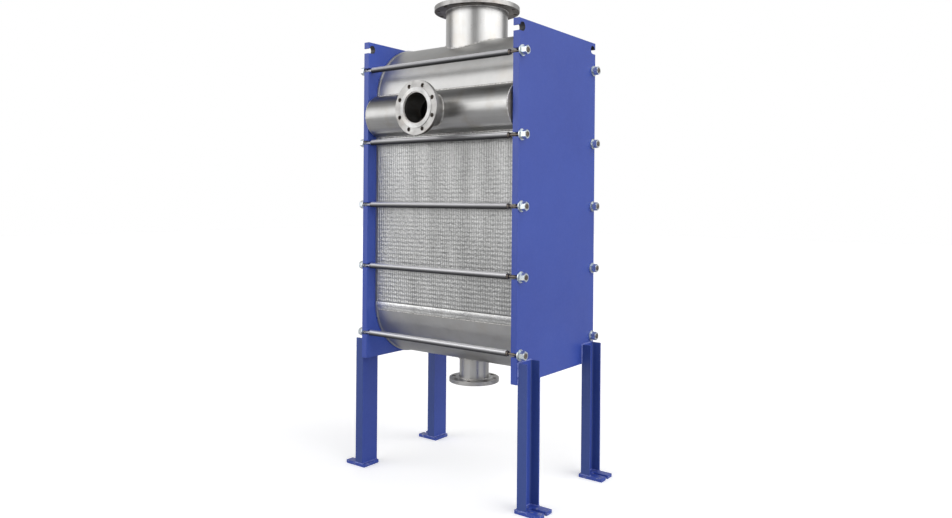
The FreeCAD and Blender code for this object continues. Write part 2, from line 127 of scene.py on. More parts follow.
def ramp(tree, factor, stops):
    """A colour ramp; each stop is a position and a linear colour or a grey value."""
    node = tree.nodes.new("ShaderNodeValToRGB")
    elements = node.color_ramp.elements
    while len(elements) < len(stops):
        elements.new(0.5)
    for element, (position, colour) in zip(elements, stops):
        element.position = position
        element.color = (colour,) * 3 + (1,) if isinstance(colour, (int, float)) else tuple(colour) + (1,)
    tree.links.new(factor, node.inputs["Fac"])
    return node.outputs["Color"]


def mix(tree, factor, first, second, blend="MIX"):
    """Mix of two colours; each may be an output socket or a linear colour."""
    node = tree.nodes.new("ShaderNodeMix")
    node.data_type = "RGBA"
    node.blend_type = blend
    for socket, value in ((node.inputs[0], factor), (node.inputs[6], first), (node.inputs[7], second)):
        if isinstance(value, bpy.types.NodeSocket):
            tree.links.new(value, socket)
        elif isinstance(value, (int, float)):
            socket.default_value = value
        else:
            socket.default_value = tuple(value) + (1,)
    return node.outputs[2]


def arithmetic(tree, operation, first, second=0.0):
    """The result of a maths node; each operand may be an output socket or a number."""
    node = tree.nodes.new("ShaderNodeMath")
    node.operation = operation
    for socket, value in zip(node.inputs, (first, second)):
        if isinstance(value, bpy.types.NodeSocket):
            tree.links.new(value, socket)
        else:
            socket.default_value = value
    return node.outputs[0]


def bump(tree, shader, height, distance, strength, below=None):
    """Relief from a height; a relief given as below is kept underneath it."""
    node = tree.nodes.new("ShaderNodeBump")
    node.inputs["Strength"].default_value = strength
    node.inputs["Distance"].default_value = distance
    tree.links.new(height, node.inputs["Height"])
    if below is not None:
        tree.links.new(below, node.inputs["Normal"])
    tree.links.new(node.outputs["Normal"], shader.inputs["Normal"])
    return node.outputs["Normal"]


# ---------------------------------------------------------------- materials
GRAIN_DEPTH = 0.04 * MM


def blue_paint(name, worn=0.0, tone=None, eyes=False):
    """Semi-gloss blue machine paint with orange peel.

    worn is how much of it is scuffed to a lighter grey, tone multiplies it into lighter and darker copies
    for painted light and painted shade, and eyes puts painted shade and dark bare steel in the lifting
    eyes.
    """
    material, tree, shader = new_material(name, Roughness=0.42, Coat_Weight=0.15, Coat_Roughness=0.25)
    place = coordinates(tree)
    cloud = noise(tree, place, 1.6, 3)
    speck = noise(tree, place, 85, 4)
    colour = ramp(tree, cloud, ((0.3, (0.028, 0.060, 0.335)), (0.7, (0.036, 0.076, 0.385))))
    colour = mix(tree, ramp(tree, speck, ((0.35, 0.0), (0.75, 0.35))), colour, (0.050, 0.092, 0.420))
    if worn:
        scuff = noise(tree, coordinates(tree, (1, 1, 2.5)), 34, 6, 0.68)
        edge = 0.62 - 0.16 * worn
        bare = ramp(tree, scuff, ((edge, 0.0), (edge + 0.05, 1.0)))
        colour = mix(tree, bare, colour, (0.24, 0.26, 0.42))
        tree.links.new(ramp(tree, scuff, ((edge, 0.42), (edge + 0.05, 0.66))), shader.inputs["Roughness"])
    else:
        rough = ramp(tree, noise(tree, place, 5, 4), ((0.3, 0.38), (0.7, 0.50)))
        tree.links.new(rough, shader.inputs["Roughness"])
    # Painted shade, with some dark bare steel colour, inside the lifting eyes.
    if eyes:
        split = tree.nodes.new("ShaderNodeSeparateXYZ")
        tree.links.new(place, split.inputs[0])
        across = arithmetic(tree, "SUBTRACT", arithmetic(tree, "ABSOLUTE", split.outputs["Y"]), EYE_Y)
        above = arithmetic(tree, "SUBTRACT", split.outputs["Z"], EYE_LEVEL)
        squares = arithmetic(tree, "ADD", arithmetic(tree, "MULTIPLY", across, across),
                             arithmetic(tree, "MULTIPLY", above, above))
        reach = arithmetic(tree, "SQRT", squares)
        inside = arithmetic(tree, "LESS_THAN", reach, EYE_RADIUS + 0.8 * MM)
        colour = mix(tree, inside, colour, (0.030, 0.030, 0.045))
    # Lighter and darker copies of the paint: painted light and painted shade.
    if tone:
        colour = mix(tree, 1.0, colour, tone, "MULTIPLY")
    tree.links.new(colour, shader.inputs["Base Color"])
    peel = bump(tree, shader, noise(tree, place, 260, 2), 0.12 * MM, 0.5)
    bump(tree, shader, noise(tree, place, 9, 2), 1.6 * MM, 0.25, peel)
    return material


def height_of_normal(tree):
    """How far the surface faces upwards, from 0 for straight down to 1 for straight up."""
    split = tree.nodes.new("ShaderNodeSeparateXYZ")
    tree.links.new(tree.nodes.new("ShaderNodeTexCoord").outputs["Normal"], split.inputs[0])
    return arithmetic(tree, "MULTIPLY", arithmetic(tree, "ADD", split.outputs["Z"], 1.0), 0.5)


def steel(name, dark, light, rough, grain, tint=None, sway=2.2 * MM, shaded_top=1.0):
    """Bare steel with streaks along one direction, cloudy gloss and a slightly uneven surface.

    tint colours its stains, sway is the depth of its unevenness, and the last argument is how much of the
    colour is left on faces that look up, which are darkened as painted shade.
    """
    material, tree, shader = new_material(name, Metallic=1.0)
    place = coordinates(tree)
    streak = noise(tree, coordinates(tree, grain), 1.0, 5, 0.62)
    cloud = noise(tree, place, 4.2, 4)
    colour = mix(tree, 0.5, ramp(tree, streak, ((0.3, dark), (0.7, light))),
                 ramp(tree, cloud, ((0.32, dark), (0.68, light))))
    if tint:
        stain = noise(tree, place, 7.5, 5, 0.6)
        colour = mix(tree, ramp(tree, stain, ((0.52, 0.0), (0.74, 0.55))), colour, tint)
    # Painted shade: faces that look up are darkened.
    if shaded_top < 1:
        top_shade = ramp(tree, height_of_normal(tree), ((0.57, 1.0), (0.70, shaded_top)))
        colour = mix(tree, 1.0, colour, top_shade, "MULTIPLY")
    tree.links.new(colour, shader.inputs["Base Color"])
    gloss = mix(tree, 0.5, ramp(tree, streak, ((0.3, rough[0]), (0.7, rough[1]))),
                ramp(tree, noise(tree, place, 11, 5), ((0.3, rough[0]), (0.7, rough[1]))))
    tree.links.new(gloss, shader.inputs["Roughness"])
    lines = bump(tree, shader, streak, GRAIN_DEPTH, 0.6)
    bump(tree, shader, noise(tree, place, 3.1, 2), sway, 0.3, lines)
    return material


def pack_steel(name, gain):
    """Pickled plate edges with tall cloudy patches; painted shade darkens the grooves between them.

    A painted shade also darkens the patches towards +X; gain is the brightness of the crests.
    """
    material, tree, shader = new_material(name, Metallic=1.0)
    place = coordinates(tree)
    split = tree.nodes.new("ShaderNodeSeparateXYZ")
    tree.links.new(place, split.inputs[0])
    depth = arithmetic(tree, "SUBTRACT", arithmetic(tree, "ABSOLUTE", split.outputs["Y"]), CAP_RADIUS)
    crest = arithmetic(tree, "DIVIDE", depth, RIB_DEPTH)
    # Cloudy patches, with painted shade that grows towards +X.
    patch_and_shade = arithmetic(tree, "SUBTRACT", noise(tree, coordinates(tree, (9, 9, 1.6)), 1.0, 3),
                       arithmetic(tree, "MULTIPLY", split.outputs["X"], 0.34))
    grain = noise(tree, place, 150, 5, 0.7)
    colour = mix(tree, 0.5, ramp(tree, patch_and_shade, ((0.30, (0.36, 0.36, 0.355)), (0.68, (0.78, 0.78, 0.77)))),
                 ramp(tree, grain, ((0.3, (0.34, 0.34, 0.335)), (0.7, (0.92, 0.92, 0.91)))))
    # Painted shade in the grooves between the crests.
    groove = ramp(tree, crest, ((0.05, 0.62 * gain), (0.55, gain)))
    tree.links.new(mix(tree, 1.0, colour, groove, "MULTIPLY"), shader.inputs["Base Color"])
    tree.links.new(ramp(tree, grain, ((0.3, 0.34), (0.7, 0.52))), shader.inputs["Roughness"])
    fine = bump(tree, shader, grain, 0.8 * MM, 0.5)
    bump(tree, shader, noise(tree, place, 62, 3), 4.0 * MM, 0.75, fine)
    return material


def turned_steel(name, node, raised_radius):
    """Machined flange steel: fine grooves round its own axis, a clean raised face, grime and painted shade
    below.
    """
    material, tree, shader = new_material(name, Metallic=1.0)
    lower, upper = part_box(node)
    centre = (lower + upper) / 2
    size = upper - lower
    axis = min(range(3), key=lambda k: size[k])
    keep = tuple(0.0 if k == axis else 1.0 for k in range(3))
    flat = coordinates(tree, keep, tuple(-c for c in centre))
    reach = tree.nodes.new("ShaderNodeVectorMath")
    reach.operation = "LENGTH"
    tree.links.new(flat, reach.inputs[0])
    radius = reach.outputs["Value"]
    groove = arithmetic(tree, "SINE", arithmetic(tree, "MULTIPLY", radius, 2 * math.pi / (1.6 * MM)))
    cloud = noise(tree, coordinates(tree), 13, 5, 0.6)
    colour = ramp(tree, cloud, ((0.30, (0.43, 0.427, 0.42)), (0.52, (0.60, 0.597, 0.59)),
                                (0.75, (0.70, 0.698, 0.69))))
    tint = ramp(tree, noise(tree, coordinates(tree), 9, 4), ((0.54, 0.0), (0.74, 0.4)))
    # Brown grime and painted shade on faces that look down.
    grime_and_shade = ramp(tree, height_of_normal(tree), ((0.12, (0.34, 0.31, 0.28)), (0.42, (1.0, 1.0, 1.0))))
    outside = arithmetic(tree, "GREATER_THAN", radius, raised_radius)
    grime_and_shade = mix(tree, outside, grime_and_shade, mix(tree, 1.0, grime_and_shade, (0.78, 0.77, 0.76), "MULTIPLY"))
    colour = mix(tree, 1.0, mix(tree, tint, colour, (0.38, 0.30, 0.22)), grime_and_shade, "MULTIPLY")
    tree.links.new(colour, shader.inputs["Base Color"])
    tree.links.new(ramp(tree, cloud, ((0.3, 0.56), (0.7, 0.40))), shader.inputs["Roughness"])
    lines = bump(tree, shader, groove, 0.03 * MM, 0.5)
    bump(tree, shader, cloud, 0.9 * MM, 0.35, lines)
    return material


def sleeve_steel(name):
    """Drawn tube with painted light: a painted highlight along the top, darker sides, painted shade
    underneath.
    """
    material, tree, shader = new_material(name, Metallic=0.85)
    streak = noise(tree, coordinates(tree, (2.5, 260, 260)), 1.0, 4)
    # Painted light and shade: the colour runs from dark underneath to near white along the top.
    share = arithmetic(tree, "ADD", height_of_normal(tree), arithmetic(tree, "MULTIPLY", streak, 0.15))
    colour = ramp(tree, share, ((0.22, (0.05, 0.05, 0.052)), (0.48, (0.16, 0.16, 0.165)),
                                (0.70, (0.30, 0.30, 0.31)), (0.90, (0.85, 0.85, 0.87))))
    tree.links.new(colour, shader.inputs["Base Color"])
    tree.links.new(ramp(tree, streak, ((0.3, 0.30), (0.7, 0.46))), shader.inputs["Roughness"])
    bump(tree, shader, streak, GRAIN_DEPTH, 0.6)
    return material


def zinc_plate(name):
    """Bright zinc plate: bluish with faint yellow clouds."""
    material, tree, shader = new_material(name, Metallic=1.0)
    place = coordinates(tree)
    cloud = noise(tree, place, 60, 4)
    colour = ramp(tree, cloud, ((0.30, (0.50, 0.56, 0.62)), (0.52, (0.72, 0.78, 0.82)),
                                (0.74, (0.74, 0.71, 0.62))))
    tree.links.new(colour, shader.inputs["Base Color"])
    tree.links.new(ramp(tree, noise(tree, place, 130, 4), ((0.3, 0.24), (0.7, 0.42))),
                   shader.inputs["Roughness"])
    bump(tree, shader, noise(tree, place, 420, 3), 0.08 * MM, 0.5)
    return material


def weld_metal(name, dark, light, metallic):
    """A rough skin with dark and light spots, such as a weld bead's."""
    material, tree, shader = new_material(name, Metallic=metallic, Roughness=0.4)
    place = coordinates(tree)
    spots = noise(tree, place, 70, 5, 0.65)
    colour = ramp(tree, spots, ((0.32, dark), (0.66, light)))
    tree.links.new(colour, shader.inputs["Base Color"])
    bump(tree, shader, noise(tree, place, 380, 4), 0.4 * MM, 0.6)
    return material


ALONG_X_GRAIN = (1.2, 90, 90)
SHEET_GRAIN = (14, 14, 14)
PAINT = blue_paint("blue_paint")
PLATE_PAINT = blue_paint("plate_paint", eyes=True)
WORN_PAINT = blue_paint("blue_paint_worn", worn=0.38)
# Painted shade: a darker copy of the paint for the legs' flange faces.
SHADED_FLANGE_PAINT = blue_paint("blue_paint_shaded_flanges", tone=(0.86, 0.86, 0.69))
# Painted light: a lighter copy of the paint for the end plates' inner faces, which the plates shade.
LIT_INNER_PAINT = blue_paint("blue_paint_lit_inner", tone=(1.45, 1.40, 1.28))
PAINTED_WELD = weld_metal("painted_weld", (0.045, 0.075, 0.37), (0.24, 0.29, 0.64), 0.0)
SHEET = steel("stainless_sheet", (0.44, 0.437, 0.43), (0.56, 0.557, 0.55), (0.38, 0.50), SHEET_GRAIN,
              tint=(0.48, 0.45, 0.41))
# The header's faces that look up are darkened: painted shade.
HEADER_STEEL = steel("header_sheet", (0.37, 0.367, 0.36), (0.52, 0.517, 0.51), (0.30, 0.40),
                     ALONG_X_GRAIN, tint=(0.36, 0.32, 0.27), shaded_top=0.5)
PIPE_STEEL = steel("pipe_steel", (0.44, 0.437, 0.43), (0.62, 0.617, 0.61), (0.24, 0.36), (60, 60, 3),
                   tint=(0.50, 0.46, 0.40))
HEATED_PIPE = steel("heated_pipe_steel", (0.34, 0.33, 0.32), (0.56, 0.55, 0.54), (0.28, 0.40), (60, 4, 60),
                    tint=(0.30, 0.22, 0.15))
PACK_STEEL = pack_steel("pack_steel", 0.77)
STRIP_STEEL = pack_steel("strip_steel", 1.15)
CORE_STEEL = steel("core_steel", (0.22, 0.218, 0.21), (0.34, 0.335, 0.33), (0.5, 0.7), (30, 30, 6),
                   sway=0.0)
SLEEVE_STEEL = sleeve_steel("sleeve_steel")
ROD_STEEL = steel("rod_steel", (0.10, 0.085, 0.075), (0.30, 0.26, 0.225), (0.34, 0.52), (20, 120, 120),
                  sway=0.0)
# Pale steel with painted light, for the left halves of the tie rods.
PALE_AND_LIT_ROD = weld_metal("rod_steel_pale_and_lit", (0.62, 0.62, 0.63), (0.90, 0.90, 0.92), 0.2)
END_STEEL = weld_metal("end_disc", (0.30, 0.27, 0.235), (0.46, 0.43, 0.39), 0.15)
ZINC = zinc_plate("zinc_plate")
STEEL_WELD = weld_metal("steel_weld", (0.30, 0.285, 0.26), (0.78, 0.77, 0.75), 0.8)


# ---------------------------------------------------------------- mesh building blocks
BEAD_SIDES = 8
BEAD_STEP = 0.45
BEAD_RIPPLE, BEAD_SWELL = 0.10, 0.13


def paint(item, material):
    """Give an object one material on every face."""
    item.data.materials.clear()
    item.data.materials.append(material)


def piece(name, points, faces, material, body="root"):
    """A new smooth mesh piece that rides on a body."""
    mesh = bpy.data.meshes.new(name)
    mesh.from_pydata([tuple(p) for p in points], [], [tuple(f) for f in faces])
    mesh.update()
    mesh.polygons.foreach_set("use_smooth", [True] * len(mesh.polygons))
    item = bpy.data.objects.new(name, mesh)
    bpy.context.scene.collection.objects.link(item)
    paint(item, material)
    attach(item, body)
    return item


def grid_faces(rows, columns, start=0, wrap_rows=False, wrap_columns=False):
    """Quads between neighbouring points of a grid that is stored row by row."""
    faces = []
    for row in range(rows if wrap_rows else rows - 1):
        below = start + row * columns
        above = start + (row + 1) % rows * columns
        for column in range(columns if wrap_columns else columns - 1):
            following = (column + 1) % columns
            faces.append((below + column, below + following, above + following, above + column))
    return faces


def resample(path, step, closed):
    """Points at even spacing along a path."""
    corners = np.array(path + path[:1] if closed else path, float)
    travelled = np.concatenate([[0], np.cumsum(np.linalg.norm(np.diff(corners, axis=0), axis=1))])
    count = max(4, int(round(travelled[-1] / step)))
    places = np.linspace(0, travelled[-1], count, endpoint=not closed)
    return np.stack([np.interp(places, travelled, corners[:, k]) for k in range(3)], 1), places


def sway_of(places, wavelengths, phase):
    """A repeatable uneven curve between about -1 and 1."""
    return sum(np.sin(2 * math.pi * places / length + phase * (k + 1.7))
               for k, length in enumerate(wavelengths)) / len(wavelengths)


def bead(name, paths, radius, material, closed=False):
    """Weld beads along paths, in one piece: round ridges with ripples and an uneven width."""
    points, faces = [], []
    for number, path in enumerate(paths):
        line, places = resample(path, BEAD_STEP * radius, closed)
        if closed:
            tangent = np.roll(line, -1, 0) - np.roll(line, 1, 0)
        else:
            tangent = np.gradient(line, axis=0)
        tangent /= np.linalg.norm(tangent, axis=1)[:, None]
        side = np.cross(tangent, (0.31, 0.52, 0.79))
        side /= np.linalg.norm(side, axis=1)[:, None]
        rise = np.cross(tangent, side)
        ripple = BEAD_RIPPLE * np.sin(2 * math.pi * places / (1.9 * radius))
        swell = BEAD_SWELL * sway_of(places, (21 * MM, 34 * MM, 83 * MM), number + 1)
        girth = radius * (1 + ripple + swell)
        if not closed:
            ends = np.minimum(np.arange(len(line)), np.arange(len(line))[::-1])
            girth *= np.clip((ends + 0.35) / 3, 0.1, 1) ** 0.5
        start = len(points)
        for k in range(len(line)):
            for turn in np.linspace(0, 2 * math.pi, BEAD_SIDES, endpoint=False):
                points.append(line[k] + girth[k] * (math.cos(turn) * side[k] + math.sin(turn) * rise[k]))
        faces += grid_faces(len(line), BEAD_SIDES, start, wrap_rows=closed, wrap_columns=True)
        if not closed:
            faces.append(tuple(range(start + BEAD_SIDES - 1, start - 1, -1)))
            last = start + (len(line) - 1) * BEAD_SIDES
            faces.append(tuple(range(last, last + BEAD_SIDES)))
    piece(name, points, faces, material)


def is_sharp(edge):
    """Whether two faces meet at the edge in a corner that would show."""
    return len(edge.link_faces) == 2 and edge.calc_face_angle(0) > SHARP_ANGLE


def weigh_normals(item):
    """Flat faces keep a flat look beside the narrow rounded edges."""
    modifier = item.modifiers.new("normals", "WEIGHTED_NORMAL")
    modifier.keep_sharp = True


def softened(node, width, material, body="root"):
    """A copy of a CAD node whose sharp edges are rounded, shown in the node's place."""
    mesh = nodes[node].data.copy()
    mesh.name = node + "_soft"
    item = bpy.data.objects.new(node + "_soft", mesh)
    bpy.context.scene.collection.objects.link(item)
    work = bmesh.new()
    work.from_mesh(mesh)
    bmesh.ops.remove_doubles(work, verts=work.verts, dist=0.01 * MM)
    bmesh.ops.dissolve_limit(work, angle_limit=math.radians(0.5), verts=work.verts, edges=work.edges)
    sharp = [edge for edge in work.edges if is_sharp(edge)]
    bmesh.ops.bevel(work, geom=sharp, offset=width, segments=2, profile=0.5, affect="EDGES",
                    clamp_overlap=True)
    for face in work.faces:
        face.smooth = True
    for edge in work.edges:
        if is_sharp(edge):
            edge.smooth = False
    work.to_mesh(mesh)
    work.free()
    paint(item, material)
    weigh_normals(item)
    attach(item, body)
    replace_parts(item, node)
    return item


# ---------------------------------------------------------------- end plates, legs and base plates
PLATE_EDGE = 1.6 * MM
FOOT_EDGE = 1.8 * MM


def end_plate(side, sx):
    """An end plate whose shaded inner face gets a lighter copy of the paint: painted light."""
    plate = softened(side + "_end_plate", PLATE_EDGE, PLATE_PAINT)
    plate.data.materials.append(LIT_INNER_PAINT)
    for face in plate.data.polygons:
        if sx * face.normal.x < -0.9:
            face.material_index = 1


end_plate("left", -1)
end_plate("right", 1)

CORNERS = [(sx, sy) for sx in (-1, 1) for sy in (-1, 1)]
LEG_WEB_THICK = 7 * MM
LEG_WELD_RADIUS = 5.5 * MM
FOOT_WELD_RADIUS = 3.2 * MM


def corner_name(sx, sy):
    return "%s_%s" % ("rear" if sy > 0 else "front", "right" if sx > 0 else "left")


def channel_outline(web, flange):
    """Section of a rolled channel, back at X = 0: tapered flanges, round roots and round toes."""
    toe_thick = 6.8 * MM
    root_thick = 11.0 * MM
    root_radius = 9 * MM
    toe_radius = 3.6 * MM
    half = [(0.0, -web / 2), (flange, -web / 2), (flange, -web / 2 + toe_thick - toe_radius)]
    for turn in np.linspace(0, 90, 5)[1:]:
        a = math.radians(turn)
        half.append((flange - toe_radius * (1 - math.cos(a)),
                     -web / 2 + toe_thick - toe_radius * (1 - math.sin(a))))
    for turn in np.linspace(0, 90, 6):
        a = math.radians(turn)
        half.append((LEG_WEB_THICK + root_radius * (1 - math.sin(a)),
                     -web / 2 + root_thick + root_radius * (1 - math.cos(a))))
    return half + [(x, -y) for x, y in reversed(half)]


def channel_leg(sx, sy):
    """A channel leg with its web flat on the end plate's outer face; its lowest and highest corners.

    The flange faces, which look along Y, get painted shade: a darker paint than the web and the toes.
    """
    node = "leg_" + corner_name(sx, sy)
    lower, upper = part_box(node)
    outline = channel_outline(upper.y - lower.y, upper.x - lower.x)
    middle = (lower.y + upper.y) / 2
    if sx < 0:
        outline = outline[::-1]
    levels = (lower.z, upper.z)
    points = [(sx * (PLATE_OUTER + x), middle + y, z) for z in levels for x, y in outline]
    count = len(outline)
    faces = grid_faces(2, count, wrap_columns=True)
    faces.append(tuple(range(count - 1, -1, -1)))
    faces.append(tuple(range(count, 2 * count)))
    leg = piece("channel_" + corner_name(sx, sy), points, faces, PAINT)
    leg.data.materials.append(SHADED_FLANGE_PAINT)
    for face in leg.data.polygons:
        face.material_index = 1 if abs(face.normal.y) > 0.6 else 0
    leg.data.set_sharp_from_angle(angle=math.radians(38))
    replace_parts(leg, node)
    return lower, upper


def leg_welds(sx, sy, lower, upper):
    """Beads that join the leg to the end plate and to its base plate."""
    name = corner_name(sx, sy)
    face = sx * PLATE_OUTER
    rim = [(face, lower.y, PLATE_BOTTOM), (face, lower.y, upper.z), (face, upper.y, upper.z),
           (face, upper.y, PLATE_BOTTOM)]
    bead("leg_weld_" + name, [rim], LEG_WELD_RADIUS, PAINTED_WELD)
    outer = sx * (PLATE_OUTER + upper.x - lower.x)
    inset = 11 * MM
    web = sx * (PLATE_OUTER + LEG_WEB_THICK)
    ring = [(face, lower.y, lower.z), (outer, lower.y, lower.z), (outer, lower.y + inset, lower.z),
            (web, lower.y + inset, lower.z), (web, upper.y - inset, lower.z),
            (outer, upper.y - inset, lower.z), (outer, upper.y, lower.z), (face, upper.y, lower.z)]
    bead("foot_weld_" + name, [ring], FOOT_WELD_RADIUS, PAINTED_WELD, closed=True)


for corner in CORNERS:
    leg_welds(*corner, *channel_leg(*corner))
    softened("foot_plate_" + corner_name(*corner), FOOT_EDGE, WORN_PAINT)


# ---------------------------------------------------------------- tie rods, sleeves, washers and nuts
THREAD_RADIUS = 13.5 * MM
THREAD_PITCH = 3 * MM
THREAD_DEPTH = 1.6 * MM
THREAD_LENGTH = 38 * MM
NECK_RADIUS = 7 * MM
BAR_RADIUS = 13 * MM
BAR_HALF = 470 * MM
SLEEVE_EDGE = 0.9 * MM
FASTENER_EDGE = 0.7 * MM
ROD_SIDES = 20
STEPS_PER_TURN = 6


def tie_rod_profile():
    """Places along a rod, with the radius there and the share of it that is thread."""
    run_out = ROD_TIP - THREAD_LENGTH
    profile = [(0.0, BAR_RADIUS, 0), (BAR_HALF - 1 * MM, BAR_RADIUS, 0), (BAR_HALF, BAR_RADIUS - 1 * MM, 0),
               (BAR_HALF, NECK_RADIUS, 0), (run_out, NECK_RADIUS, 0)]
    steps = int(THREAD_LENGTH / THREAD_PITCH * STEPS_PER_TURN)
    for step in range(steps + 1):
        x = run_out + THREAD_LENGTH * step / steps
        taper = min(1.0, (ROD_TIP - x) / THREAD_DEPTH, (x - run_out) / THREAD_DEPTH)
        profile.append((x, THREAD_RADIUS - THREAD_DEPTH * (1 - taper), taper))
    return profile


def tie_rods(row_name, y):
    """The five rods of one row, with a real thread at each end; the left halves are pale with painted
    light.
    """
    half = tie_rod_profile()
    profile = [(-x, r, cut) for x, r, cut in reversed(half[1:])] + half
    points, faces = [], []
    for z in ROD_HEIGHTS:
        start = len(points)
        for x, radius, cut in profile:
            for k in range(ROD_SIDES):
                turn = 2 * math.pi * k / ROD_SIDES
                phase = (x / THREAD_PITCH - k / ROD_SIDES) % 1.0
                depth = cut * THREAD_DEPTH * abs(2 * phase - 1) if cut else 0.0
                reach = radius - depth
                points.append((x, y + reach * math.cos(turn), z + reach * math.sin(turn)))
        faces += grid_faces(len(profile), ROD_SIDES, start, wrap_columns=True)
        faces.append(tuple(range(start + ROD_SIDES - 1, start - 1, -1)))
        last = start + (len(profile) - 1) * ROD_SIDES
        faces.append(tuple(range(last, last + ROD_SIDES)))
    rods = piece("threaded_rods_" + row_name, points, faces, ROD_STEEL)
    rods.data.materials.append(PALE_AND_LIT_ROD)
    # Pale steel with painted light on the left halves.
    for face in rods.data.polygons:
        face.material_index = 1 if face.center.x < 0 else 0
    rods.data.set_sharp_from_angle(angle=math.radians(50))
    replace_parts(rods, "tie_rods_" + row_name)


tie_rods("front", -ROD_Y)
tie_rods("rear", ROD_Y)
for row_name in ("front", "rear"):
    softened("rod_sleeves_" + row_name, SLEEVE_EDGE, SLEEVE_STEEL)
    for k in range(1, 6):
        for kind in ("washer", "nut"):
            node = "%s_%s_%d" % (kind, row_name, k)
            softened(node, FASTENER_EDGE, ZINC, body=node)
softened("left_washers", FASTENER_EDGE, ZINC)
softened("left_nuts", FASTENER_EDGE, ZINC)


# ---------------------------------------------------------------- plate pack
COLUMNS_PER_PLATE = 5
ROW_HEIGHT = 23 * MM
STEPS_PER_ROW = 6
ROW_WAVE, ROW_JITTER = 0.16, 0.10
CROWN_POWER = 3.2
FULLNESS, FULLNESS_SPREAD, LEAN_SPREAD = 0.64, 0.10, 0.13
PINCH_AT_BOTTOM, PINCH_FADE = 0.18, 0.11
RIB_SWAY = 0.5 * MM
RIDGE_LEVEL, RIDGE_WIDTH = 0.42, 0.50
LEDGE_LEVEL, LEDGE_WIDTH = 0.25, 0.60
FLAT_SHARE, RIDGE_SHARE, SPOT_SHARE, SPOT_SPREAD, FLECK_SHARE = 0.13, 0.46, 0.14, 0.10, 0.09
FLECK_SIZE = 4 * MM


def scatter(first, second, seed):
    """Repeatable numbers between -1 and 1, one for each pair of whole numbers."""
    mixed = np.sin(first * 12.9898 + second * 78.233 + seed) * 43758.5453
    return 2 * (mixed - np.floor(mixed)) - 1


def outward_slab(name, x, depth, z, side, material):
    """A slab over a grid of places: its outer face follows the grid and its back is flat."""
    rows, columns = x.shape
    points = np.stack([x, side * depth, z], -1).reshape(-1, 3)
    corners = points[[0, (rows - 1) * columns, rows * columns - 1, columns - 1]]
    corners[:, 1] = side * (CAP_RADIUS - 1 * MM)
    bottom = list(range(columns))
    top = [(rows - 1) * columns + column for column in bottom]
    left = [row * columns for row in range(rows)]
    right = [place + columns - 1 for place in left]
    back = [rows * columns + corner for corner in range(4)]
    walls = [top + [back[2], back[1]], bottom[::-1] + [back[0], back[3]],
             right[::-1] + [back[3], back[2]], left + [back[1], back[0]], back]
    faces = grid_faces(rows, columns) + walls
    if side > 0:
        faces = [face[::-1] for face in faces]
    slab = piece(name, np.concatenate([points, corners]), faces, material)
    for face in list(slab.data.polygons)[-len(walls):]:
        face.use_smooth = False
    return slab


def pack_face(name, side, bottom, top):
    """The seam-welded plate edges on one face of the pack: upright ribs, pinched at even rows."""
    columns = CASSETTES * COLUMNS_PER_PLATE + 1
    rows = int((top - bottom) / ROW_HEIGHT * STEPS_PER_ROW) + 1
    x, z = np.meshgrid(np.linspace(-PANEL_INNER, PANEL_INNER, columns), np.linspace(bottom, top, rows))
    number = (x + PANEL_INNER) / PACK_PITCH
    rib = np.floor(np.clip(number, 0, CASSETTES - 0.5))
    drift = ROW_WAVE * np.sin(0.31 * rib + 2.1 * z) + ROW_JITTER * scatter(rib, 0, 0.4)
    turn = z / ROW_HEIGHT + drift / (2 * math.pi)
    cell = np.round(turn)
    within = 2 * (number - rib) - 1
    crown = 1 - np.abs(within) ** CROWN_POWER
    swell = FULLNESS + FULLNESS_SPREAD * scatter(rib, cell, 1.1)
    lean = LEAN_SPREAD * scatter(rib, cell, 2.3) * within
    tightness = PINCH_AT_BOTTOM - PINCH_FADE * (z - bottom) / (top - bottom)
    pinch = tightness * np.cos(2 * math.pi * turn) * (1 + 0.4 * scatter(rib, cell, 3.7))
    depth = CAP_RADIUS + 0.4 * MM + RIB_DEPTH * crown * (swell + lean + pinch)
    sway = RIB_SWAY * crown * scatter(rib, cell, 5.9)
    return outward_slab(name, x + sway, depth, z, side, PACK_STEEL)


def weld_strip(node, side, ridge_level, ridge_width):
    """A flat strip with a thick row of weld spots along it, one at each plate.

    The row's level and half width are in halves of the strip's height, from its middle. The shares are
    parts of the strip's thickness.
    """
    lower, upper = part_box(node)
    columns, rows = CASSETTES * COLUMNS_PER_PLATE + 1, 13
    x, t = np.meshgrid(np.linspace(lower.x, upper.x, columns), np.linspace(-1, 1, rows))
    middle, half = (lower.z + upper.z) / 2, (upper.z - lower.z) / 2
    rib = np.floor((x + PANEL_INNER) / PACK_PITCH)
    spot = np.cos(math.pi * (x + PANEL_INNER) / PACK_PITCH) ** 2
    ridge = np.clip(1 - ((t - ridge_level) / ridge_width) ** 2, 0, 1) ** 0.6
    flat = FLAT_SHARE * np.clip(1 - t ** 8, 0, 1)
    fleck = FLECK_SHARE * scatter(np.round(x / FLECK_SIZE), np.round(6 * t), 2.7)
    crest = RIDGE_SHARE + SPOT_SHARE * spot + SPOT_SPREAD * scatter(rib, 7, 1.9) + fleck
    share = flat + ridge * crest
    depth = CAP_RADIUS + (upper.y - lower.y) * share
    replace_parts(outward_slab(node + "_welded", x, depth, middle + half * t, side, STRIP_STEEL), node)


pack_face("pack_face_front", -1, high("pack_strip_front").z, low("header_ledge_front").z)
pack_face("pack_face_rear", 1, high("header_ledge_rear").z, low("pack_strip_rear").z)
weld_strip("pack_strip_front", -1, RIDGE_LEVEL, RIDGE_WIDTH)
weld_strip("pack_strip_rear", 1, -RIDGE_LEVEL, RIDGE_WIDTH)
weld_strip("header_ledge_front", -1, LEDGE_LEVEL, LEDGE_WIDTH)
weld_strip("header_ledge_rear", 1, -LEDGE_LEVEL, LEDGE_WIDTH)


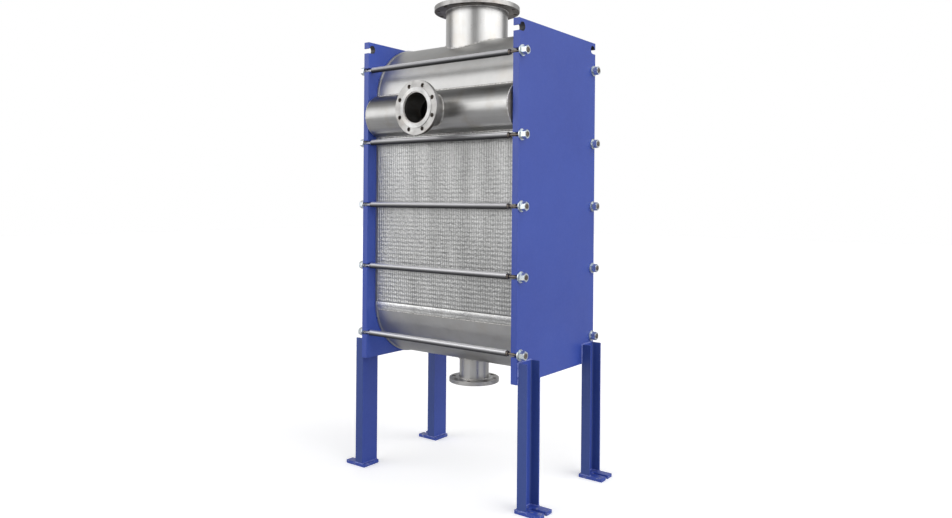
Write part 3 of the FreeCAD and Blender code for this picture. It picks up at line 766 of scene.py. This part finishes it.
# ---------------------------------------------------------------- seams of the welded core
CAP_BEAD = 1.8 * MM
PANEL_BEAD = 2.6 * MM
PACK_BEAD = 2.6 * MM
HEADER_LONG_BEAD = 6.0 * MM
HEADER_END_BEAD = 3.6 * MM
NOZZLE_ROOT_BEAD = 4.6 * MM
FLANGE_NECK_BEAD = 3.8 * MM
HEADER_WALL = 8 * MM


def arc(x, level, radius, begin, finish, centre_y=0.0, steps=60):
    """Points on an arc round the X direction; the angle is measured from +Y towards +Z, in degrees."""
    turns = np.radians(np.linspace(begin, finish, steps))
    return [(x, centre_y + radius * math.cos(a), level + radius * math.sin(a)) for a in turns]


def cap_seams():
    """Beads between caps and side panels, and between side panels and end plates."""
    paths = []
    for side in (-1, 1):
        paths.append(arc(side * PANEL_INNER, CAP_TOP_LEVEL, CAP_RADIUS, 0, 180))
        paths.append(arc(side * PANEL_INNER, CAP_BOTTOM_LEVEL, CAP_RADIUS, 0, -180))
    bead("cap_seams", paths, CAP_BEAD, SHEET)
    rings = []
    for side in (-1, 1):
        over = arc(side * PLATE_INNER, CAP_TOP_LEVEL, PANEL_RADIUS, 0, 180)
        under = arc(side * PLATE_INNER, CAP_BOTTOM_LEVEL, PANEL_RADIUS, 180, 360)
        rings.append(over + under)
    bead("panel_seams", rings, PANEL_BEAD, PAINT, closed=True)


def long_seam(y, z):
    """A straight path between the side panels."""
    return [(-PANEL_INNER + 2 * MM, y, z), (PANEL_INNER - 2 * MM, y, z)]


def header_seams():
    """Beads along both edges of the headers and round their ends."""
    paths, rims = [], []
    for side in (-1, 1):
        level = HEADER_LEVEL[side]
        for edge in (-1, 1):
            paths.append(long_seam(side * (HEADER_FOOT + 2 * MM), level + edge * HEADER_HALF_HEIGHT))
        inner = HEADER_RADIUS - HEADER_WALL
        opening = math.degrees(math.acos((HEADER_FOOT - HEADER_AXIS) / inner))
        middle = 0 if side > 0 else 180
        for end in (-1, 1):
            for recess, reach in ((6 * MM, inner), (1 * MM, inner + 5 * MM)):
                rims.append(arc(end * (HEADER_HALF_LENGTH - recess), level, reach, middle - opening,
                                middle + opening, side * HEADER_AXIS, 40))
    bead("header_long_seams", paths, HEADER_LONG_BEAD, STEEL_WELD)
    bead("header_end_seams", rims, HEADER_END_BEAD, STEEL_WELD)


def pack_seams():
    """Beads between the pack and the long edges of both caps."""
    paths = [long_seam(low("pack_strip_front").y + 3 * MM, low("pack_strip_front").z),
             long_seam(high("pack_strip_rear").y - 3 * MM, high("pack_strip_rear").z),
             long_seam(-CAP_RADIUS, CAP_TOP_LEVEL), long_seam(CAP_RADIUS, CAP_BOTTOM_LEVEL)]
    bead("pack_long_seams", paths, PACK_BEAD, STEEL_WELD)


def saddle(kind, side):
    """The curve where a nozzle pipe meets the cap or the header that it stands on."""
    path = []
    for turn in np.radians(np.linspace(0, 360, 96, endpoint=False)):
        if kind == "cap":
            radius = TOP_PIPE_RADIUS if side > 0 else SMALL_PIPE_RADIUS
            y = radius * math.sin(turn)
            base = CAP_TOP_LEVEL if side > 0 else CAP_BOTTOM_LEVEL
            path.append((NOZZLE_SHIFT + radius * math.cos(turn), y,
                         base + side * math.sqrt(CAP_RADIUS ** 2 - y ** 2)))
        else:
            z = SMALL_PIPE_RADIUS * math.sin(turn)
            path.append((SMALL_PIPE_RADIUS * math.cos(turn),
                         side * (HEADER_AXIS + math.sqrt(HEADER_RADIUS ** 2 - z ** 2)),
                         HEADER_LEVEL[side] + z))
    return path


def flange_neck(node, radius, axis, outward):
    """The circle where a pipe meets the back of its flange."""
    lower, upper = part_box(node)
    centre = (lower + upper) / 2
    back = lower[axis] if outward > 0 else upper[axis]
    first, second = [k for k in range(3) if k != axis]
    path = []
    for turn in np.radians(np.linspace(0, 360, 72, endpoint=False)):
        point = [0.0, 0.0, 0.0]
        point[axis] = back
        point[first] = centre[first] + radius * math.cos(turn)
        point[second] = centre[second] + radius * math.sin(turn)
        path.append(tuple(point))
    return path


def nozzle_seams():
    """Beads at both ends of the four nozzle pipes."""
    roots = [saddle(kind, side) for kind, side in (("cap", 1), ("cap", -1), ("header", -1), ("header", 1))]
    bead("nozzle_root_seams", roots, NOZZLE_ROOT_BEAD, STEEL_WELD, closed=True)
    necks = [flange_neck("top_nozzle_flange", TOP_PIPE_RADIUS, 2, 1),
             flange_neck("bottom_nozzle_flange", SMALL_PIPE_RADIUS, 2, -1),
             flange_neck("front_nozzle_flange", SMALL_PIPE_RADIUS, 1, -1),
             flange_neck("rear_nozzle_flange", SMALL_PIPE_RADIUS, 1, 1)]
    bead("flange_neck_seams", necks, FLANGE_NECK_BEAD, STEEL_WELD, closed=True)


cap_seams()
header_seams()
pack_seams()
nozzle_seams()


# ---------------------------------------------------------------- flanges and the remaining CAD nodes
TOP_RAISED_RADIUS, TOP_BOLT_CIRCLE = 207.5 * MM, 222.5 * MM
SMALL_RAISED_RADIUS, SMALL_BOLT_CIRCLE = 106 * MM, 120 * MM
HOLE_REACH = 13 * MM
FLANGE_EDGE = 1.0 * MM


def flange(place, axis, raised_radius, bolt_circle):
    """A nozzle flange whose bolt holes have walls in dark rod steel; both sizes are radii."""
    node = place + "_nozzle_flange"
    turned = turned_steel("turned_" + place, node, raised_radius)
    disc = softened(node, FLANGE_EDGE, turned)
    disc.data.materials.append(ROD_STEEL)
    lower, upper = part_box(node)
    for face in disc.data.polygons:
        offset = face.center - (lower + upper) / 2
        offset[axis] = 0
        if abs(face.normal[axis]) < 0.5 and abs(offset.length - bolt_circle) < HOLE_REACH:
            face.material_index = 1


flange("top", 2, TOP_RAISED_RADIUS, TOP_BOLT_CIRCLE)
for place, axis in (("bottom", 2), ("front", 1), ("rear", 1)):
    flange(place, axis, SMALL_RAISED_RADIUS, SMALL_BOLT_CIRCLE)

for node, material in (("top_cap", SHEET), ("bottom_cap", SHEET), ("left_side_panel", PIPE_STEEL),
                       ("right_side_panel", PIPE_STEEL), ("front_header", HEADER_STEEL),
                       ("rear_header", HEADER_STEEL), ("front_header_ends", END_STEEL),
                       ("rear_header_ends", END_STEEL), ("top_nozzle_pipe", PIPE_STEEL),
                       ("bottom_nozzle_pipe", PIPE_STEEL), ("front_nozzle_pipe", HEATED_PIPE),
                       ("rear_nozzle_pipe", HEATED_PIPE), ("plate_cassettes", CORE_STEEL),
                       ("gap_bars_front", CORE_STEEL), ("gap_bars_rear", CORE_STEEL)):
    paint(nodes[node], material)


# ---------------------------------------------------------------- floor, light and camera
FLOOR_SIZE = 30.0
FLOOR_SEEN = (0.90, 0.90, 0.90)
FLOOR_IN_REFLECTIONS = (0.52, 0.52, 0.53)
FLOOR_GLOW = 0.35
HALL_LIGHT = 0.25
# Each soft light: the direction to it, the cosines at its edge and at its core, and its strength.
SOFT_LIGHTS = (((-0.40, -0.86, 0.31), 0.60, 0.99, 1.72),
               ((0.95, 0.05, 0.32), 0.46, 0.96, 1.90),
               ((-0.70, 0.68, 0.25), 0.45, 0.95, 0.45))
CAMERA_PLACE = (2.638, -3.514, 1.534)
CAMERA_AZIMUTH = math.radians(37.07)
CAMERA_ROLL = math.radians(0.47)
CAMERA_LENS = 28.97
CAMERA_SHIFT = -0.0598


def floor():
    """A plain pale floor, which reflections and bounced light see as a darker hall floor."""
    mesh = bpy.data.meshes.new("floor")
    corners = [(FLOOR_SIZE * x, FLOOR_SIZE * y, 0) for x, y in ((-1, -1), (1, -1), (1, 1), (-1, 1))]
    mesh.from_pydata(corners, [], [(0, 1, 2, 3)])
    ground = bpy.data.objects.new("floor", mesh)
    bpy.context.scene.collection.objects.link(ground)
    material, tree, shader = new_material("pale_floor", Roughness=0.9)
    path = tree.nodes.new("ShaderNodeLightPath")
    seen = path.outputs["Is Camera Ray"]
    tree.links.new(mix(tree, seen, FLOOR_IN_REFLECTIONS, FLOOR_SEEN), shader.inputs["Base Color"])
    shader.inputs["Emission Color"].default_value = (1, 1, 1, 1)
    tree.links.new(arithmetic(tree, "MULTIPLY", seen, FLOOR_GLOW), shader.inputs["Emission Strength"])
    ground.data.materials.append(material)


def glow(tree, direction, towards, edge, core, strength):
    """Light from a wide soft patch of sky; edge and core are cosines of the angle from its middle."""
    dot = tree.nodes.new("ShaderNodeVectorMath")
    dot.operation = "DOT_PRODUCT"
    tree.links.new(direction, dot.inputs[0])
    dot.inputs[1].default_value = Vector(towards).normalized()
    share = tree.nodes.new("ShaderNodeMapRange")
    share.interpolation_type = "SMOOTHERSTEP"
    share.inputs["From Min"].default_value = edge
    share.inputs["From Max"].default_value = core
    share.inputs["To Max"].default_value = strength
    tree.links.new(dot.outputs["Value"], share.inputs["Value"])
    return share.outputs["Result"]


def studio_world():
    """A dim hall with wide soft lights in front, at the right and at the rear left; white backdrop."""
    world = bpy.data.worlds.new("studio")
    bpy.context.scene.world = world
    world.use_nodes = True
    tree = world.node_tree
    background = tree.nodes["Background"]
    direction = tree.nodes.new("ShaderNodeTexCoord").outputs["Generated"]
    light = HALL_LIGHT
    for soft_light in SOFT_LIGHTS:
        light = arithmetic(tree, "ADD", glow(tree, direction, *soft_light), light)
    path = tree.nodes.new("ShaderNodeLightPath")
    seen = path.outputs["Is Camera Ray"]
    tree.links.new(mix(tree, seen, light, (1.0, 1.0, 1.0)), background.inputs["Color"])


def camera():
    """A level view from the front right, with a very small roll."""
    back = Vector((math.sin(CAMERA_AZIMUTH), -math.cos(CAMERA_AZIMUTH), 0))
    level_right = Vector((math.cos(CAMERA_AZIMUTH), math.sin(CAMERA_AZIMUTH), 0))
    level_up = back.cross(level_right)
    right = math.cos(CAMERA_ROLL) * level_right + math.sin(CAMERA_ROLL) * level_up
    up = -math.sin(CAMERA_ROLL) * level_right + math.cos(CAMERA_ROLL) * level_up
    data = bpy.data.cameras.new("camera")
    data.sensor_width = 36
    data.lens = CAMERA_LENS
    data.shift_y = CAMERA_SHIFT
    eye = bpy.data.objects.new("camera", data)
    eye.matrix_world = Matrix((right, up, back)).transposed().to_4x4()
    eye.location = CAMERA_PLACE
    bpy.context.scene.collection.objects.link(eye)
    bpy.context.scene.camera = eye


floor()
studio_world()
camera()
bpy.context.scene.view_settings.view_transform = "Standard"
